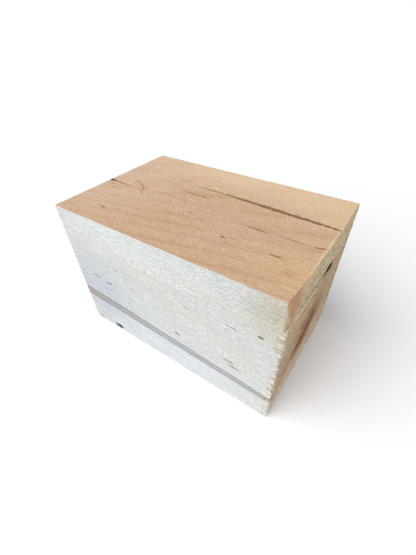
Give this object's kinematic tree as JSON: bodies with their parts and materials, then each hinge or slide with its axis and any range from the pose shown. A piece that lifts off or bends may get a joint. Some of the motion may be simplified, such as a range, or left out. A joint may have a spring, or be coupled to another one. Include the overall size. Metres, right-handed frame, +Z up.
{
  "type": "wood block",
  "caption": "Rough-sawn rectangular hardwood block with a stepped saw-cut end, a ring shake along its top and a torn end arris, used as a turning or carving blank or a bench block.",
  "frame": {"origin": "middle of the underside, which the block stands on", "axes": "+X along the grain from the clean end to the stepped end, +Y from the front face to the back face, +Z up"},
  "size_m": [0.1536, 0.099, 0.098],
  "materials": {
    "sawn_hardwood": "rough-sawn, unfinished"
  },
  "bodies": {
    "root": {"wood_block": "sawn_hardwood"}
  },
  "joints": []
}
